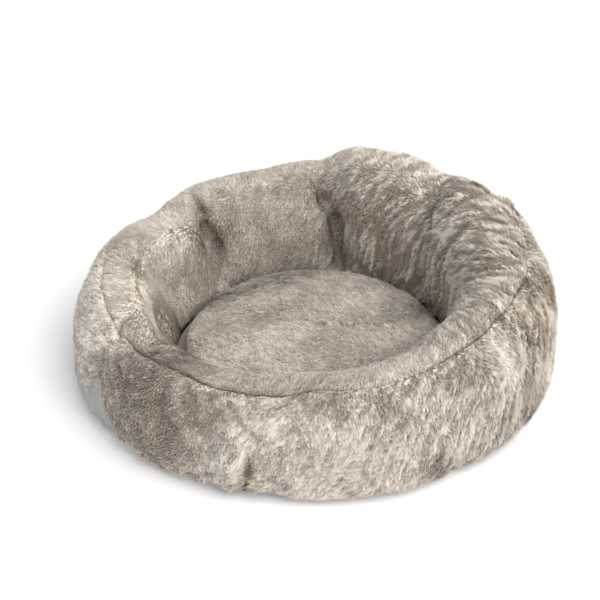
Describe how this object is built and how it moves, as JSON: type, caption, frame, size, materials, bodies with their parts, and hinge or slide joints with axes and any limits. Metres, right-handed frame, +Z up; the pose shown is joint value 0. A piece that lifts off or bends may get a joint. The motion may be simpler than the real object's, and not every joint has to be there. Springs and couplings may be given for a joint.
{
  "type": "pet cushion bed",
  "caption": "Round plush bolster bed for a small dog or cat: a stuffed ring wall round a sunken well, with a loose cushion that lifts out and a flat non-slip base.",
  "frame": {"origin": "centre of the underside, on the surface the bed lies on", "axes": "+Z up, -Y towards the low front of the ring, +X to the right seen from the front"},
  "size_m": [0.6202, 0.6192, 0.1857],
  "materials": {
    "mottled_plush": "long clumped faux-fur pile, dark at the root and light at the tip",
    "brushed_plush": "short brushed plush pile, paler than the outside",
    "fibre_wadding": "loose white polyester fibre wadding",
    "grip_cloth": "charcoal non-slip cloth with small raised grip dots",
    "grey_canvas": "plain-woven grey canvas",
    "foam": "soft open-cell foam",
    "lining_cloth": "plain beige lining cloth"
  },
  "bodies": {
    "bed": {"outer_plush_panel": "mottled_plush", "inner_plush_panel": "brushed_plush", "bolster_fill_right_rear": "fibre_wadding", "bolster_fill_rear_right": "fibre_wadding", "bolster_fill_rear": "fibre_wadding", "bolster_fill_rear_left": "fibre_wadding", "bolster_fill_left": "fibre_wadding", "bolster_fill_front_left": "fibre_wadding", "bolster_fill_front": "fibre_wadding", "bolster_fill_front_right": "fibre_wadding", "base_sheet": "grip_cloth", "base_band": "grey_canvas", "base_pad": "foam", "well_lining": "lining_cloth"},
    "loose_cushion": {"cushion_top_panel": "brushed_plush", "cushion_underside": "grey_canvas", "cushion_fill": "fibre_wadding"}
  },
  "joints": [
    {"name": "cushion_lift", "type": "slide", "parent": "bed", "child": "loose_cushion", "axis": [0, 0, 1], "range_m": [0, 0.24]}
  ]
}
